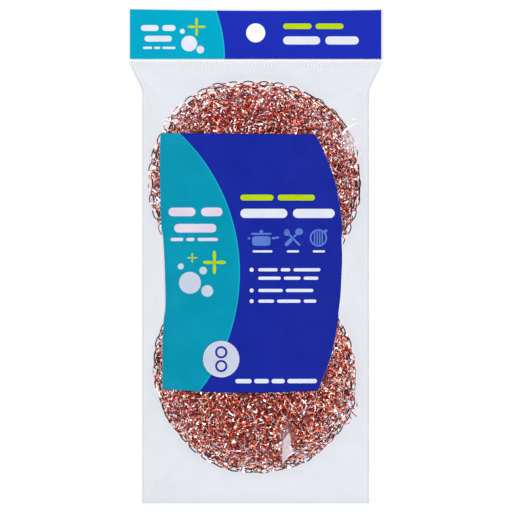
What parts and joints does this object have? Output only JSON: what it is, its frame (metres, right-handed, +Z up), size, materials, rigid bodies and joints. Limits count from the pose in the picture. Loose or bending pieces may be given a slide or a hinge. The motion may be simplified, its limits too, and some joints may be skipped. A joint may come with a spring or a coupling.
{
  "type": "pot scrubber",
  "caption": "Hanging clear header bag holding round knitted copper wire pot scrubbers, with a printed header, hang hole and label.",
  "frame": {"origin": "centre of the round hang hole, midway through the header", "axes": "+Z up as the pack hangs, -Y out of the printed front, +X to the right seen from the front"},
  "size_m": [0.1004, 0.0268, 0.1946],
  "materials": {
    "printed_film": "glossy printed film, teal on the left and blue on the right",
    "label_print": "glossy printed patch, teal on the left and blue on the right",
    "clear_film": "thin clear glossy film",
    "copper_mesh": "bright copper coloured flat wire, knitted",
    "tie_metal": "bright copper coloured wire"
  },
  "bodies": {
    "header": {"header_front_panel": "printed_film", "header_back_panel": "printed_film"},
    "bag": {"crimp_seal": "clear_film", "front_film": "clear_film", "back_film": "clear_film", "front_label": "label_print"},
    "upper_scrubber": {"upper_outer_sleeve": "copper_mesh", "upper_inner_fold": "copper_mesh", "upper_core_roll": "copper_mesh", "upper_tie_wire": "tie_metal"},
    "lower_scrubber": {"lower_outer_sleeve": "copper_mesh", "lower_inner_fold": "copper_mesh", "lower_core_roll": "copper_mesh", "lower_tie_wire": "tie_metal"}
  },
  "joints": [
    {"name": "header_fold", "type": "hinge", "parent": "header", "child": "bag", "pos_m": [0, 0, -0.01125], "axis": [1, 0, 0], "range_deg": [-90, 90]},
    {"name": "upper_scrubber_shift", "type": "slide", "parent": "bag", "child": "upper_scrubber", "axis": [1, 0, 0], "range_m": [-0.0006, 0.0006]},
    {"name": "lower_scrubber_shift", "type": "slide", "parent": "bag", "child": "lower_scrubber", "axis": [1, 0, 0], "range_m": [-0.0024, 0.0024]}
  ]
}
